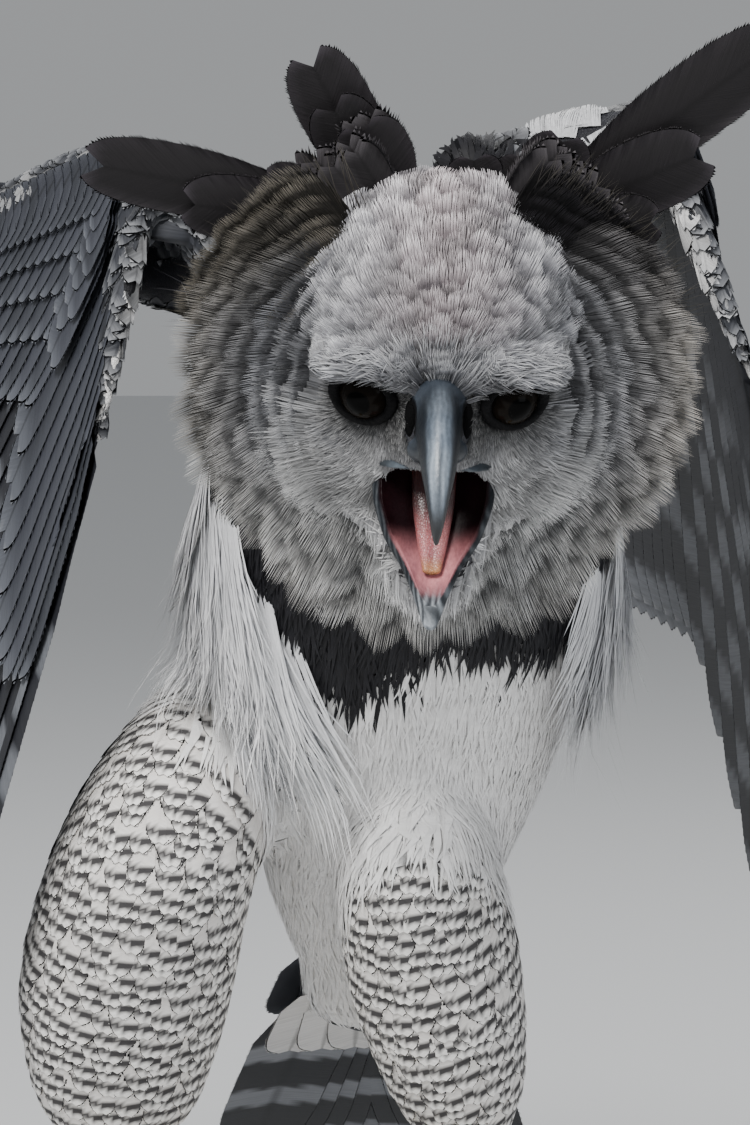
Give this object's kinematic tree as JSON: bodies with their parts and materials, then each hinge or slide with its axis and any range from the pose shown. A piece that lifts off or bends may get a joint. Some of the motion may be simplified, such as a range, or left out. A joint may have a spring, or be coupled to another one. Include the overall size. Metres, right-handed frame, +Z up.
{
  "type": "harpy eagle model",
  "caption": "Life-size harpy eagle standing in threat: head low, beak open, facial disc and crest raised, wings half spread, tail out behind.",
  "frame": {"origin": "on the floor, under the middle of the bird's bounding box", "axes": "+Z up, the bird faces -Y, so its left side is towards +X and its tail towards +Y"},
  "size_m": [0.503, 0.7814, 0.684],
  "materials": {
    "grey_down": "soft feather",
    "slate": "soft feather",
    "white_down": "soft feather",
    "barred": "soft feather",
    "black_down": "soft feather",
    "horn": "satin horn",
    "iris": "wet gloss",
    "flesh": "moist",
    "leg_skin": "scaled",
    "flight": "soft feather",
    "crest_dark": "soft feather"
  },
  "bodies": {
    "root": {"bill_lower": "horn", "bill_upper": "horn", "claw_hind_left": "horn", "claw_hind_right": "horn", "claw_inner_left": "horn", "claw_inner_right": "horn", "claw_middle_left": "horn", "claw_middle_right": "horn", "claw_outer_left": "horn", "claw_outer_right": "horn", "crest": "crest_dark", "eye_left": "iris", "eye_right": "iris", "facial_disc": "grey_down", "foot_left": "leg_skin", "foot_right": "leg_skin", "head": "grey_down", "neck": "black_down", "shank_left": "leg_skin", "shank_right": "leg_skin", "tail": "flight", "thigh_left": "barred", "thigh_right": "barred", "tongue": "flesh", "torso": "white_down", "wing_arm_left": "slate", "wing_arm_right": "slate", "wing_hand_left": "flight", "wing_hand_right": "flight"}
  },
  "joints": []
}
